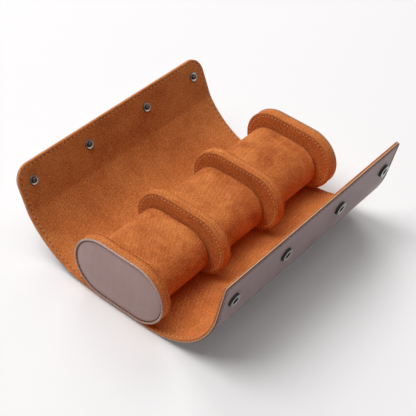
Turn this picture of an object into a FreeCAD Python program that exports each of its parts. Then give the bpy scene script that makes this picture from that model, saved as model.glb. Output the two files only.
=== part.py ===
"""A roll case for three watches: a leather wrap round four stadium discs and three cushions.

Millimetres, +Z up. The case lies open on a table at z = 0. X runs along the roll, with the near end
cap at -X, the front flap goes up on the -Y side and the back flap, with the snap studs, on +Y.
The origin is on the table, below the middle of the roll.
"""
import FreeCAD, Part
import Sketcher
import math
import os
from types import SimpleNamespace

doc = FreeCAD.newDocument("WatchRoll")

# Driving sizes. Lengths in millimetres, turns and openings in degrees.
SIZES = [
    # the wrap
    ("wrap_length", 202.0),
    ("leather_wall", 1.6),
    ("lining_wall", 1.4),
    ("fold_gap", 0.15),
    ("front_corner", 2.5),
    ("back_corner", 13.0),
    # the front side: flat base, three curved panels, the last one ending flat
    ("front_base", 25.5),
    ("front_run_1", 28.0),
    ("front_turn_1_degrees", 26.8),
    ("front_run_2", 28.2),
    ("front_turn_2_degrees", 29.8),
    ("front_run_3", 28.2),
    ("front_turn_3_degrees", 25.3),
    ("front_flat", 30.9),
    ("front_open_2_degrees", 30.0),
    ("front_open_3_degrees", 35.2),
    # the back side: flat base, three curved panels, the crease and the snap panel
    ("back_base", 24.5),
    ("back_run_1", 21.2),
    ("back_turn_1_degrees", 16.3),
    ("back_run_2", 24.2),
    ("back_turn_2_degrees", 18.6),
    ("back_run_3", 27.7),
    ("back_turn_3_degrees", 19.5),
    ("crease_degrees", 10.0),
    ("snap_panel_width", 35.1),
    ("back_open_2_degrees", 20.0),
    ("back_open_3_degrees", 15.4),
    ("back_open_4_degrees", 23.2),
    # the end caps and dividers
    ("cap_reach", 1.5),
    ("disc_half_width", 40.2),
    ("disc_half_height", 25.2),
    ("disc_core_inset", 1.4),
    ("band_wall", 1.0),
    ("cap_thickness", 8.9),
    ("cap_leather_edge", 0.9),
    ("cap_crown", 1.2),
    ("cap_suede", 1.5),
    ("divider_thickness", 8.5),
    ("divider_suede", 1.4),
    ("near_bay_share", 0.3302),
    ("middle_bay_share", 0.3255),
    ("face_rounding", 0.9),
    # the watch cushions
    ("cushion_side_gap", 0.4),
    ("cushion_rest_gap", 0.3),
    ("cushion_half_width", 31.5),
    ("cushion_half_height", 19.5),
    ("cushion_shift", 2.8),
    ("cushion_crown", 0.6),
    ("cushion_corner", 2.8),
    ("cushion_side_bulge", 0.6),
    ("sleeve_wall", 1.3),
    # the snaps
    ("snap_middle_spacing", 63.6),
    ("snap_from_end", 13.0),
    ("socket_from_edge", 20.2),
    ("stud_from_edge", 13.8),
    ("shank_radius", 1.5),
    ("shank_play", 0.1),
    ("socket_radius", 5.2),
    ("socket_height", 2.1),
    ("socket_play", 0.35),
    ("socket_floor", 0.3),
    ("socket_rim_rounding", 0.4),
    ("socket_washer_radius", 4.4),
    ("socket_washer", 0.7),
    ("stud_flange_radius", 3.9),
    ("stud_flange", 0.6),
    ("stud_height", 2.2),
    ("stud_head_radius", 1.95),
    ("stud_neck_radius", 1.6),
    ("stud_head", 0.9),
    ("stud_head_rounding", 0.6),
    ("snap_cap_radius", 5.6),
    ("snap_cap", 0.8),
    ("snap_cap_rounding", 0.45),
]


class Size:
    """A length or an angle: its value now and the expression that gives it from the sheet."""

    def __init__(self, value, text):
        self.value = value
        self.text = text

    def _with(self, other, sign, value, swap=False):
        other_text = other.text if isinstance(other, Size) else repr(other)
        pair = (other_text, self.text) if swap else (self.text, other_text)
        return Size(value, f"({pair[0]} {sign} {pair[1]})")

    def __add__(self, other):
        return self._with(other, "+", self.value + number(other))

    def __radd__(self, other):
        return self._with(other, "+", number(other) + self.value, swap=True)

    def __sub__(self, other):
        return self._with(other, "-", self.value - number(other))

    def __rsub__(self, other):
        return self._with(other, "-", number(other) - self.value, swap=True)

    def __mul__(self, other):
        return self._with(other, "*", self.value * number(other))

    def __rmul__(self, other):
        return self._with(other, "*", number(other) * self.value, swap=True)

    def __truediv__(self, other):
        return self._with(other, "/", self.value / number(other))

    def __neg__(self):
        return Size(-self.value, f"(-1 * {self.text})")


def number(value):
    return value.value if isinstance(value, Size) else float(value)


def size_of(value):
    return value if isinstance(value, Size) else Size(float(value), repr(float(value)))


def sine(angle):
    return Size(math.sin(math.radians(number(angle))), f"sin({size_of(angle).text})")


def cosine(angle):
    return Size(math.cos(math.radians(number(angle))), f"cos({size_of(angle).text})")


def tangent(angle):
    return Size(math.tan(math.radians(number(angle))), f"tan({size_of(angle).text})")


def degrees(arc, radius):
    """The angle that an arc of that length takes at that radius."""
    return arc / radius * (180 / math.pi)


def bulge_radius(half_chord, rise):
    """Radius of the arc over a chord that rises by so much at its middle."""
    return (half_chord * half_chord + rise * rise) / (2 * rise)


sheet = doc.addObject("Spreadsheet::Sheet", "Sizes")
for row, (alias, value) in enumerate(SIZES, start=1):
    sheet.set(f"A{row}", alias)
    sheet.set(f"B{row}", str(value))
    sheet.setAlias(f"B{row}", alias)
doc.recompute()
s = SimpleNamespace(**{alias: Size(float(sheet.get(alias)), f"Sizes.{alias}") for alias, _ in SIZES})

sub_parts = []


def new_body(name, keep=True):
    body = doc.addObject("PartDesign::Body", name)
    body.Label = name
    if keep:
        sub_parts.append(body)
    return body


def plane(body, role):
    return next(o for o in body.Origin.OriginFeatures if o.Role == role)


def new_sketch(body, role, offset=None):
    """A sketch on one of the body's own planes, moved along that plane's normal by offset."""
    sketch = body.newObject("Sketcher::SketchObject", f"{body.Name}_sketch")
    sketch.AttachmentSupport = [(plane(body, role), "")]
    sketch.MapMode = "FlatFace"
    if offset is not None:
        sketch.AttachmentOffset = FreeCAD.Placement(FreeCAD.Vector(0, 0, number(offset)), FreeCAD.Rotation())
        sketch.setExpression("AttachmentOffset.Base.z", offset.text)
    return sketch


def pin(sketch, edge, end, across, up):
    """Holds one end of an edge at a place given in sizes. A zero holds it to the axis instead."""
    for kind, axis, place in (("DistanceX", -2, across), ("DistanceY", -1, up)):
        if isinstance(place, Size):
            index = sketch.addConstraint(Sketcher.Constraint(kind, edge, end, place.value))
            sketch.setExpression(f"Constraints[{index}]", place.text)
        else:
            sketch.addConstraint(Sketcher.Constraint("PointOnObject", edge, end, axis))


def arc_between(start, end, radius, left):
    """The arc of under a half circle from start to end, turning left or right."""
    chord = end - start
    middle = (start + end) / 2
    reach = math.sqrt(max(radius**2 - (chord.Length / 2) ** 2, 0))
    side = FreeCAD.Vector(-chord.y, chord.x, 0).normalize()
    centre = middle + side * (reach if left else -reach)
    first, last = (start, end) if left else (end, start)
    angles = [math.atan2(p.y - centre.y, p.x - centre.x) for p in (first, last)]
    if angles[1] < angles[0]:
        angles[1] += 2 * math.pi
    circle = Part.Circle(centre, FreeCAD.Vector(0, 0, 1), radius)
    return Part.ArcOfCircle(circle, *angles)


def draw(sketch, corners):
    """A closed outline. A corner is (across, up), or (across, up, radius, "left" or "right") where
    an arc leads to the next corner."""
    points = [FreeCAD.Vector(number(c[0]), number(c[1]), 0) for c in corners]
    ends = []
    for i, corner in enumerate(corners):
        start, end = points[i], points[(i + 1) % len(points)]
        if len(corner) == 2:
            edge = sketch.addGeometry(Part.LineSegment(start, end))
            ends.append((edge, 1, 2))
            continue
        left = corner[3] == "left"
        edge = sketch.addGeometry(arc_between(start, end, number(corner[2]), left))
        ends.append((edge, 1, 2) if left else (edge, 2, 1))
    for i, (edge, first, last) in enumerate(ends):
        following = ends[(i + 1) % len(ends)]
        sketch.addConstraint(Sketcher.Constraint("Coincident", edge, last, following[0], following[1]))
    for corner, (edge, first, last) in zip(corners, ends):
        pin(sketch, edge, first, corner[0], corner[1])
        if len(corner) > 2:
            index = sketch.addConstraint(Sketcher.Constraint("Radius", edge, number(corner[2])))
            sketch.setExpression(f"Constraints[{index}]", corner[2].text)
    return sketch


def draw_stadium(sketch, half_width, radius):
    """A stadium round the sketch's origin, its long side across."""
    reach = number(half_width - radius)
    up = number(radius)
    normal = FreeCAD.Vector(0, 0, 1)
    right_end = Part.Circle(FreeCAD.Vector(reach, 0, 0), normal, up)
    left_end = Part.Circle(FreeCAD.Vector(-reach, 0, 0), normal, up)
    right = sketch.addGeometry(Part.ArcOfCircle(right_end, -math.pi / 2, math.pi / 2))
    left = sketch.addGeometry(Part.ArcOfCircle(left_end, math.pi / 2, 3 * math.pi / 2))
    top = sketch.addGeometry(Part.LineSegment(FreeCAD.Vector(reach, up, 0), FreeCAD.Vector(-reach, up, 0)))
    low = sketch.addGeometry(Part.LineSegment(FreeCAD.Vector(-reach, -up, 0), FreeCAD.Vector(reach, -up, 0)))
    sketch.addConstraint(Sketcher.Constraint("Tangent", right, 2, top, 1))
    sketch.addConstraint(Sketcher.Constraint("Tangent", top, 2, left, 1))
    sketch.addConstraint(Sketcher.Constraint("Tangent", left, 2, low, 1))
    sketch.addConstraint(Sketcher.Constraint("Tangent", low, 2, right, 1))
    pin(sketch, right, 3, half_width - radius, 0)
    pin(sketch, left, 3, radius - half_width, 0)
    index = sketch.addConstraint(Sketcher.Constraint("Radius", right, up))
    sketch.setExpression(f"Constraints[{index}]", radius.text)
    return sketch


def draw_circles(sketch, places, radius):
    for across, up in places:
        centre = FreeCAD.Vector(number(across), number(up), 0)
        circle = sketch.addGeometry(Part.Circle(centre, FreeCAD.Vector(0, 0, 1), number(radius)))
        pin(sketch, circle, 3, across, up)
        index = sketch.addConstraint(Sketcher.Constraint("Radius", circle, number(radius)))
        sketch.setExpression(f"Constraints[{index}]", radius.text)
    return sketch


def pad(body, sketch, length, both_ways=False, reverse=False):
    feature = body.newObject("PartDesign::Pad", f"{body.Name}_pad")
    feature.Profile = sketch
    feature.Length = number(length)
    feature.setExpression("Length", length.text)
    feature.Midplane = both_ways
    feature.Reversed = reverse
    doc.recompute()
    return feature


def cut(body, sketch, depth=None):
    """Cuts the sketch right through the body, or to a depth along the sketch plane's normal."""
    before = body.Shape.Volume
    feature = body.newObject("PartDesign::Pocket", f"{body.Name}_cut")
    feature.Profile = sketch
    if depth is None:
        feature.Type = "ThroughAll"
        feature.Midplane = True
    else:
        feature.Length = number(depth)
        feature.setExpression("Length", depth.text)
        feature.Reversed = True
    doc.recompute()
    if not feature.Shape.Volume < before:
        raise RuntimeError(f"{feature.Name} cuts nothing")
    return feature


def spin(body, sketch, axis, angle=360.0, reverse=False):
    feature = body.newObject("PartDesign::Revolution", f"{body.Name}_turn")
    feature.Profile = sketch
    feature.ReferenceAxis = (sketch, [axis])
    feature.Angle = angle
    feature.Reversed = reverse
    doc.recompute()
    return feature


def round_edges(body, radius, wanted):
    """Rounds the body's edges that the test picks, given an edge's box."""
    base = body.Tip
    names = [f"Edge{i}" for i, e in enumerate(base.Shape.Edges, start=1) if wanted(e.BoundBox)]
    feature = body.newObject("PartDesign::Fillet", f"{body.Name}_round")
    feature.Base = (base, names)
    feature.Radius = number(radius)
    feature.setExpression("Radius", radius.text)
    doc.recompute()
    return feature


def place(thing, x, y, z, lean=0.0, turn=0.0):
    """Puts a sub-part at x, y, z, leaned about X, or turned about Z."""
    axis = FreeCAD.Vector(0, 0, 1) if number(turn) else FreeCAD.Vector(1, 0, 0)
    angle = turn if number(turn) else lean
    base = FreeCAD.Vector(number(x), number(y), number(z))
    thing.Placement = FreeCAD.Placement(base, FreeCAD.Rotation(axis, number(angle)))
    for name, value in (("Base.x", x), ("Base.y", y), ("Base.z", z), ("Rotation.Angle", angle)):
        if isinstance(value, Size):
            thing.setExpression(f"Placement.{name}", value.text)


wall = s.leather_wall + s.lining_wall
LAYERS = (("lining", 0 * wall, s.lining_wall), ("leather", s.lining_wall, wall))

# The flat base under the discs


def build_base():
    for layer, _, _ in LAYERS:
        body = new_body(f"base_{layer}")
        reach = s.wrap_length / 2
        front = s.fold_gap - s.front_base
        back = s.back_base - s.fold_gap
        corners = [(-reach, front), (reach, front), (reach, back), (-reach, back)]
        sketch = draw(new_sketch(body, "XY_Plane"), corners)
        pad(body, sketch, s.leather_wall if layer == "leather" else s.lining_wall)
        place(body, 0, 0, s.leather_wall if layer == "lining" else 0)


# The wrap's curved panels. A run is measured on the outer face, and folds turn on the inner face.


class Fold:
    """Where the next panel starts: a point on the inner face and how far the wrap leans there."""

    def __init__(self, side, y, z, lean):
        self.side = side
        self.y = y
        self.z = z
        self.lean = lean

    def along(self, ahead):
        """The place on the inner face that lies ahead along the lean."""
        return self.y + ahead * cosine(self.lean) * self.side, self.z + ahead * sine(self.lean)

    def after_arc(self, run, turn):
        inner = run / turn * (180 / math.pi) - wall
        chord = 2 * inner * sine(turn / 2)
        middle = Fold(self.side, self.y, self.z, self.lean + turn / 2)
        y, z = middle.along(chord)
        return Fold(self.side, y, z, self.lean + turn)


def gap_at(depth, opening):
    """Half the width of a fold's notch, that deep below the inner face, for that much opening."""
    return s.fold_gap + depth * tangent(opening / 2)


def arc_point(side, inner, depth, angle):
    """A point on a panel's arc, its inner face starting level at the sketch's origin."""
    radius = inner + depth
    return side * (radius * sine(angle)), inner - radius * cosine(angle), radius


def build_curved_panel(name, fold, run, turn, open_first, open_last):
    inner = run / turn * (180 / math.pi) - wall
    side = fold.side
    for layer, shallow, deep in LAYERS:
        first = [degrees(gap_at(d, open_first), inner + d) for d in (shallow, deep)]
        last = [turn - degrees(gap_at(d, open_last), inner + d) for d in (shallow, deep)]
        inner_start = arc_point(side, inner, shallow, first[0])
        inner_end = arc_point(side, inner, shallow, last[0])
        outer_start = arc_point(side, inner, deep, first[1])
        outer_end = arc_point(side, inner, deep, last[1])
        ahead, back = ("left", "right") if side > 0 else ("right", "left")
        corners = [
            (outer_start[0], outer_start[1], outer_start[2], ahead),
            (outer_end[0], outer_end[1]),
            (inner_end[0], inner_end[1], inner_end[2], back),
            (inner_start[0], inner_start[1]),
        ]
        body = new_body(f"{name}_{layer}")
        pad(body, draw(new_sketch(body, "YZ_Plane"), corners), s.wrap_length, both_ways=True)
        place(body, 0, fold.y, fold.z, lean=side * fold.lean)


def snap_places():
    inside = s.snap_middle_spacing / 2
    outside = s.wrap_length / 2 - s.snap_from_end
    return [-outside, -inside, inside, outside]


def build_front_tip(fold, opening):
    """The last front panel: an arc that ends in a flat strip with the sockets, whose washers sit in
    seats under the suede. Its own origin is on the inner face where the flat starts."""
    inner = s.front_run_3 / s.front_turn_3_degrees * (180 / math.pi) - wall
    flat = fold.after_arc(s.front_run_3, s.front_turn_3_degrees)
    for layer, shallow, deep in LAYERS:
        starts = []
        for depth in (shallow, deep):
            angle = s.front_turn_3_degrees - degrees(gap_at(depth, opening), inner + depth)
            radius = inner + depth
            starts.append((radius * sine(angle), inner - radius * cosine(angle), radius))
        (inner_y, inner_z, inner_radius), (outer_y, outer_z, outer_radius) = starts
        face = -shallow if layer == "leather" else 0
        corners = [
            (outer_y, outer_z, outer_radius, "right"),
            (0, -deep),
            (-s.front_flat, -deep),
            (-s.front_flat, face),
            (0, face, inner_radius, "left"),
            (inner_y, inner_z),
        ]
        body = new_body(f"front_panel_3_{layer}")
        pad(body, draw(new_sketch(body, "YZ_Plane"), corners), s.wrap_length, both_ways=True)
        holes = [(x, s.socket_from_edge - s.front_flat) for x in snap_places()]
        if layer == "leather":
            sketch = new_sketch(body, "XY_Plane")
            cut(body, draw_circles(sketch, holes, s.shank_radius + s.shank_play))
        else:
            sketch = new_sketch(body, "XY_Plane", offset=-s.lining_wall)
            seats = draw_circles(sketch, holes, s.socket_washer_radius + s.shank_play)
            cut(body, seats, depth=s.socket_washer)
        edge = -number(s.front_flat)
        slack = number(s.fold_gap)
        round_edges(body, s.front_corner, lambda b: b.YMax < edge + slack and b.XLength < slack)
        place(body, 0, flat.y, flat.z, lean=-flat.lean)
    return flat


def build_snap_panel(fold):
    """The flat panel beyond the crease, with rounded free corners. Its origin is on the crease."""
    for layer, shallow, deep in LAYERS:
        start = gap_at(wall, s.back_open_4_degrees)
        reach = s.wrap_length / 2
        corner = s.back_corner
        far = s.snap_panel_width
        corners = [
            (-reach, start),
            (reach, start),
            (reach, far - corner, corner, "left"),
            (reach - corner, far),
            (corner - reach, far, corner, "left"),
            (-reach, far - corner),
        ]
        body = new_body(f"snap_panel_{layer}")
        sketch = new_sketch(body, "XY_Plane", offset=-shallow if layer == "leather" else None)
        pad(body, draw(sketch, corners), deep - shallow, reverse=True)
        holes = [(x, far - s.stud_from_edge) for x in snap_places()]
        cut(body, draw_circles(new_sketch(body, "XY_Plane"), holes, s.shank_radius + s.shank_play))
        place(body, 0, fold.y, fold.z, lean=fold.lean)


# The snaps. Each is turned about its own Z, with z = 0 on the wrap's inner face.


def build_socket(name, x, y, z, lean):
    """The drum on the outside of the front flap that a stud clicks into."""
    body = new_body(name)
    bore = s.stud_head_radius + s.socket_play
    face = -wall
    top = face - s.socket_height
    rim = s.socket_rim_rounding
    floor = face - s.socket_floor
    corners = [
        (0, -s.lining_wall),
        (0, floor),
        (bore, floor),
        (bore, top),
        (s.socket_radius - rim, top, rim, "left"),
        (s.socket_radius, top + rim),
        (s.socket_radius, face),
        (s.shank_radius, face),
        (s.shank_radius, -s.lining_wall),
    ]
    spin(body, draw(new_sketch(body, "XZ_Plane"), corners), "V_Axis")
    place(body, x, y, z, lean=lean)


def build_socket_washer(name, x, y, z, lean):
    """The flat washer under the suede that the socket's shank is riveted to."""
    body = new_body(name)
    low = -s.lining_wall
    high = low + s.socket_washer
    corners = [(0, low), (s.socket_washer_radius, low), (s.socket_washer_radius, high), (0, high)]
    spin(body, draw(new_sketch(body, "XZ_Plane"), corners), "V_Axis")
    place(body, x, y, z, lean=lean)


def build_stud(name, x, y, z, lean):
    """The flanged button on the inside of the back flap, with a rounded head on a narrower neck."""
    body = new_body(name)
    top = s.stud_height
    soft = s.stud_head_rounding
    corners = [
        (0, -wall),
        (s.shank_radius, -wall),
        (s.shank_radius, 0),
        (s.stud_flange_radius, 0),
        (s.stud_flange_radius, s.stud_flange),
        (s.stud_neck_radius, s.stud_flange),
        (s.stud_neck_radius, top - s.stud_head),
        (s.stud_head_radius, top - s.stud_head),
        (s.stud_head_radius, top - soft, soft, "left"),
        (s.stud_head_radius - soft, top),
        (0, top),
    ]
    spin(body, draw(new_sketch(body, "XZ_Plane"), corners), "V_Axis")
    place(body, x, y, z, lean=lean)


def build_snap_cap(name, x, y, z, lean):
    """The smooth metal button on the outside of the back flap."""
    body = new_body(name)
    low = -wall - s.snap_cap
    soft = s.snap_cap_rounding
    corners = [
        (0, -wall),
        (0, low),
        (s.snap_cap_radius - soft, low, soft, "left"),
        (s.snap_cap_radius, low + soft),
        (s.snap_cap_radius, -wall),
    ]
    spin(body, draw(new_sketch(body, "XZ_Plane"), corners), "V_Axis")
    place(body, x, y, z, lean=lean)


# End caps and dividers. Each is built in its own frame: x = 0 on its first face, centred on the disc.


def stadium_plate(name, thickness, inset=None, soft_side=None):
    """A plate with the discs' outline, or that outline less an inset, with one face's edge rounded."""
    body = new_body(name)
    width = s.disc_half_width if inset is None else s.disc_half_width - inset
    height = s.disc_half_height if inset is None else s.disc_half_height - inset
    pad(body, draw_stadium(new_sketch(body, "YZ_Plane"), width, height), thickness)
    slack = number(s.face_rounding) / 2
    far = number(thickness) - slack
    if soft_side == "first":
        round_edges(body, s.face_rounding, lambda b: b.XMax < slack)
    if soft_side == "last":
        round_edges(body, s.face_rounding, lambda b: b.XMin > far)
    return body


def stadium_band(name, thickness):
    """The suede band round a core, a little inside the discs' outline."""
    body = stadium_plate(name, thickness, inset=s.disc_core_inset - s.band_wall)
    width = s.disc_half_width - s.disc_core_inset
    height = s.disc_half_height - s.disc_core_inset
    cut(body, draw_stadium(new_sketch(body, "YZ_Plane"), width, height))
    return body


def turned_stadium(body, half, full, reach):
    """A stadium whose section is given: full is padded along the straight part, and half, which lies
    on one side of the axis, is turned round both ends."""
    pad(body, draw(new_sketch(body, "XZ_Plane"), full), reach * 2, both_ways=True)
    ends = ((-reach, True), (reach, False))
    for offset, reverse in ends:
        before = body.Shape.Volume
        spin(body, draw(new_sketch(body, "XZ_Plane", offset=offset), half), "H_Axis", 180.0, reverse)
        if not body.Shape.Volume > before:
            raise RuntimeError(f"{body.Name} gained nothing at an end")
    return body


def crowned_face(name):
    """The padded leather face of an end cap, flat behind and crowned in front."""
    high = s.disc_half_height
    edge = s.cap_leather_edge
    dome = bulge_radius(high, s.cap_crown)
    half = [(0, 0), (edge + s.cap_crown, 0, dome, "left"), (edge, high), (0, high)]
    full = [(0, -high), (edge, -high, dome, "left"), (edge, high), (0, high)]
    return turned_stadium(new_body(name), half, full, s.disc_half_width - high)


disc_height = wall + s.disc_half_height


def put_disc(body, x, turned=False):
    place(body, x, 0, disc_height, turn=180.0 if turned else 0.0)


def build_cap(name, inner_x, turned):
    """Suede inside, a core with a recessed suede band round it, and crowned leather outside."""
    core = s.cap_thickness - s.cap_suede - s.cap_leather_edge
    core_x = inner_x - s.cap_suede if turned else inner_x + s.cap_suede
    leather_x = core_x - core if turned else core_x + core
    put_disc(stadium_plate(f"{name}_suede", s.cap_suede, soft_side="first"), inner_x, turned)
    put_disc(stadium_plate(f"{name}_core", core, inset=s.disc_core_inset), core_x, turned)
    put_disc(stadium_band(f"{name}_band", core), core_x, turned)
    put_disc(crowned_face(f"{name}_leather"), leather_x, turned)


def build_divider(name, near_x):
    core = s.divider_thickness - 2 * s.divider_suede
    core_x = near_x + s.divider_suede
    put_disc(stadium_plate(f"{name}_near_suede", s.divider_suede, soft_side="first"), near_x)
    put_disc(stadium_plate(f"{name}_core", core, inset=s.disc_core_inset), core_x)
    put_disc(stadium_band(f"{name}_band", core), core_x)
    put_disc(stadium_plate(f"{name}_far_suede", s.divider_suede, soft_side="last"), core_x + core)


# The watch cushions: a foam core in a suede sleeve, crowned, with rounded and slightly bulging sides.


def build_cushion(name, low_x, high_x):
    half_length = (high_x - low_x) / 2 - s.cushion_side_gap
    high = s.cushion_half_height
    reach = s.cushion_half_width - high
    bulge = s.cushion_side_bulge
    corner = s.cushion_corner
    shoulder = high - s.cushion_crown
    side = half_length - bulge
    top = side - corner
    crown = bulge_radius(top, s.cushion_crown)
    face = bulge_radius(shoulder - corner, bulge)
    half = [
        (half_length, 0, face, "left"),
        (side, shoulder - corner, corner, "left"),
        (top, shoulder, crown, "left"),
        (-top, shoulder, corner, "left"),
        (-side, shoulder - corner, face, "left"),
        (-half_length, 0),
    ]
    full = [
        (side, corner - shoulder, face, "left"),
        (side, shoulder - corner, corner, "left"),
        (top, shoulder, crown, "left"),
        (-top, shoulder, corner, "left"),
        (-side, shoulder - corner, face, "left"),
        (-side, corner - shoulder, corner, "left"),
        (-top, -shoulder, crown, "left"),
        (top, -shoulder, corner, "left"),
    ]
    x = (low_x + high_x) / 2
    z = wall + s.cushion_rest_gap + high
    outer = turned_stadium(new_body(f"{name}_outside", keep=False), half, full, reach)
    place(outer, x, s.cushion_shift, z)
    core = new_body(f"{name}_core")
    inside = shoulder - s.sleeve_wall
    sketch = draw_stadium(new_sketch(core, "YZ_Plane"), reach + inside, inside)
    pad(core, sketch, 2 * (side - s.sleeve_wall), both_ways=True)
    slack = number(s.sleeve_wall)
    ends = number(side - s.sleeve_wall) - slack
    round_edges(core, corner, lambda b: b.XMin > ends or b.XMax < -ends)
    place(core, x, s.cushion_shift, z)
    sleeve = doc.addObject("Part::Cut", f"{name}_sleeve")
    sleeve.Label = f"{name}_sleeve"
    sleeve.Base = outer
    sleeve.Tool = core
    sub_parts.append(sleeve)
    doc.recompute()


# Everything, in order

build_base()

front_1 = Fold(-1, -s.front_base, wall, 0 * wall)
front_2 = front_1.after_arc(s.front_run_1, s.front_turn_1_degrees)
front_3 = front_2.after_arc(s.front_run_2, s.front_turn_2_degrees)
build_curved_panel("front_panel_1", front_1, s.front_run_1, s.front_turn_1_degrees, 0 * wall, s.front_open_2_degrees)
build_curved_panel(
    "front_panel_2", front_2, s.front_run_2, s.front_turn_2_degrees, s.front_open_2_degrees, s.front_open_3_degrees
)
front_flat = build_front_tip(front_3, s.front_open_3_degrees)

back_1 = Fold(1, s.back_base, wall, 0 * wall)
back_2 = back_1.after_arc(s.back_run_1, s.back_turn_1_degrees)
back_3 = back_2.after_arc(s.back_run_2, s.back_turn_2_degrees)
crease = back_3.after_arc(s.back_run_3, s.back_turn_3_degrees)
snap_fold = Fold(1, crease.y, crease.z, crease.lean + s.crease_degrees)
build_curved_panel("back_panel_1", back_1, s.back_run_1, s.back_turn_1_degrees, 0 * wall, s.back_open_2_degrees)
build_curved_panel("back_panel_2", back_2, s.back_run_2, s.back_turn_2_degrees, s.back_open_2_degrees, s.back_open_3_degrees)
build_curved_panel("back_panel_3", back_3, s.back_run_3, s.back_turn_3_degrees, s.back_open_3_degrees, s.back_open_4_degrees)
build_snap_panel(snap_fold)

socket_y, socket_z = front_flat.along(s.front_flat - s.socket_from_edge)
stud_y, stud_z = snap_fold.along(s.snap_panel_width - s.stud_from_edge)
for count, x in enumerate(snap_places(), start=1):
    build_socket(f"front_socket_{count}", x, socket_y, socket_z, -front_flat.lean)
    build_socket_washer(f"front_socket_washer_{count}", x, socket_y, socket_z, -front_flat.lean)
    build_stud(f"back_stud_{count}", x, stud_y, stud_z, snap_fold.lean)
    build_snap_cap(f"back_snap_cap_{count}", x, stud_y, stud_z, snap_fold.lean)

inside_reach = s.wrap_length / 2 + s.cap_reach - s.cap_thickness
free_length = 2 * (inside_reach - s.divider_thickness)
divider_1_x = free_length * s.near_bay_share - inside_reach
divider_2_x = divider_1_x + s.divider_thickness + free_length * s.middle_bay_share
build_cap("near_cap", -inside_reach, turned=True)
build_cap("far_cap", inside_reach, turned=False)
build_divider("divider_1", divider_1_x)
build_divider("divider_2", divider_2_x)

build_cushion("cushion_1", -inside_reach, divider_1_x)
build_cushion("cushion_2", divider_1_x + s.divider_thickness, divider_2_x)
build_cushion("cushion_3", divider_2_x + s.divider_thickness, inside_reach)

doc.recompute()
failed = [o.Name for o in doc.Objects if "Invalid" in o.State or "Error" in o.State]
bad = [p.Label for p in sub_parts if p.Shape.isNull() or not p.Shape.isValid() or len(p.Shape.Solids) != 1]
if failed or bad:
    raise RuntimeError(f"failed objects {failed}, bad shapes {bad}")

os.makedirs("parts", exist_ok=True)
for part in sub_parts:
    part.Shape.exportStep(f"parts/{part.Label}.step")
print(f"{len(sub_parts)} sub-parts")
print("front folds", [(round(f.y.value, 3), round(f.z.value, 3)) for f in (front_1, front_2, front_3)])
print("back folds", [(round(f.y.value, 3), round(f.z.value, 3)) for f in (back_1, back_2, back_3, crease)])
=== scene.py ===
# %% [markdown]
# # A travel case for three watches
#
# The case lies open on a white table. A leather wrap lined with suede goes up at both sides. Four
# flat discs stand across it, and three suede cushions lie between them. The imported CAD model comes
# first: its parts are hidden as the dressed pieces replace them, and its box is kept for the end.

import math
from types import SimpleNamespace

import bmesh
import bpy
import numpy as np
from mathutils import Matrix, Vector


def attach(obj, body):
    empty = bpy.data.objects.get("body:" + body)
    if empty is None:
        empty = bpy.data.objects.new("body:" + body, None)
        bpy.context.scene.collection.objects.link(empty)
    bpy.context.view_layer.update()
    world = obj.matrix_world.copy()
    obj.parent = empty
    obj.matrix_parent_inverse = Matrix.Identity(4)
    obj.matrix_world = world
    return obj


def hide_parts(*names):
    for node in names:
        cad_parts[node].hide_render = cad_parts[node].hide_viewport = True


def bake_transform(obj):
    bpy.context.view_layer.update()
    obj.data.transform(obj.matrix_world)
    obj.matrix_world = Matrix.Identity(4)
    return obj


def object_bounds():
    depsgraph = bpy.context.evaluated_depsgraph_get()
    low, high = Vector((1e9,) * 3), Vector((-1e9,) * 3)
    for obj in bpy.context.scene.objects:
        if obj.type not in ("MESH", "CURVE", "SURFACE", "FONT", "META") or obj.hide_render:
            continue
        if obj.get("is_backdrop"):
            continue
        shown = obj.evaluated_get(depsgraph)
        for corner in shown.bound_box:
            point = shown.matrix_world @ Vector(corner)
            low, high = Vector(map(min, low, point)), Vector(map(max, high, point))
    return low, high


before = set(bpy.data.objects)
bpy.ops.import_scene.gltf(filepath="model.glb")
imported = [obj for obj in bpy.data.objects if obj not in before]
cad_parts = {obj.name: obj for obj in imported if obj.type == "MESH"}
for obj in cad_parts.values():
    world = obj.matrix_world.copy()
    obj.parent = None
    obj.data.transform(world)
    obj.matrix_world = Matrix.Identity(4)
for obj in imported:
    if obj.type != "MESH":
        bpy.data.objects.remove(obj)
cad_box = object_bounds()
MM = 0.001
print("CAD box in mm", [[round(c / MM, 1) for c in corner] for corner in cad_box])

# %% [markdown]
# ## The camera
#
# The photo looks at the near end cap from above and from the front. The place, turn and lens below
# come from fitting a camera to points of the case that can be found again in the photo: the ends of
# edges, the snaps and the outlines of the discs. With the right camera every later comparison gets
# easier, so it is made before any surface. The Standard view shows colours as they are written,
# without a film curve.

# %% Camera
CAMERA_PLACE = (-0.5042, -0.35035, 0.57752)
CAMERA_TURN_DEGREES = (48.027, -4.457, -50.897)
CAMERA_LENS_MM = 97.64
SENSOR_MM = 36.0

camera_data = bpy.data.cameras.new("camera")
camera_data.lens = CAMERA_LENS_MM
camera_data.sensor_width = SENSOR_MM
camera = bpy.data.objects.new("camera", camera_data)
camera.location = CAMERA_PLACE
camera.rotation_euler = [math.radians(turn) for turn in CAMERA_TURN_DEGREES]
bpy.context.scene.collection.objects.link(camera)
bpy.context.scene.camera = camera
bpy.context.scene.view_settings.view_transform = "Standard"
print("camera distance in mm", round(Vector(CAMERA_PLACE).length / MM))

# %% [markdown]
# ## Writing materials as sums
#
# A material is a graph of nodes. Written link by link it is hard to read, so a wire, which is one
# output of a node, gets Python's own operators: `nap * 0.6` adds a Math node. Colours go through
# ramps instead, because a Math node would turn them grey. Every other node comes from `add`.

# %% Wires and paints


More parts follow.
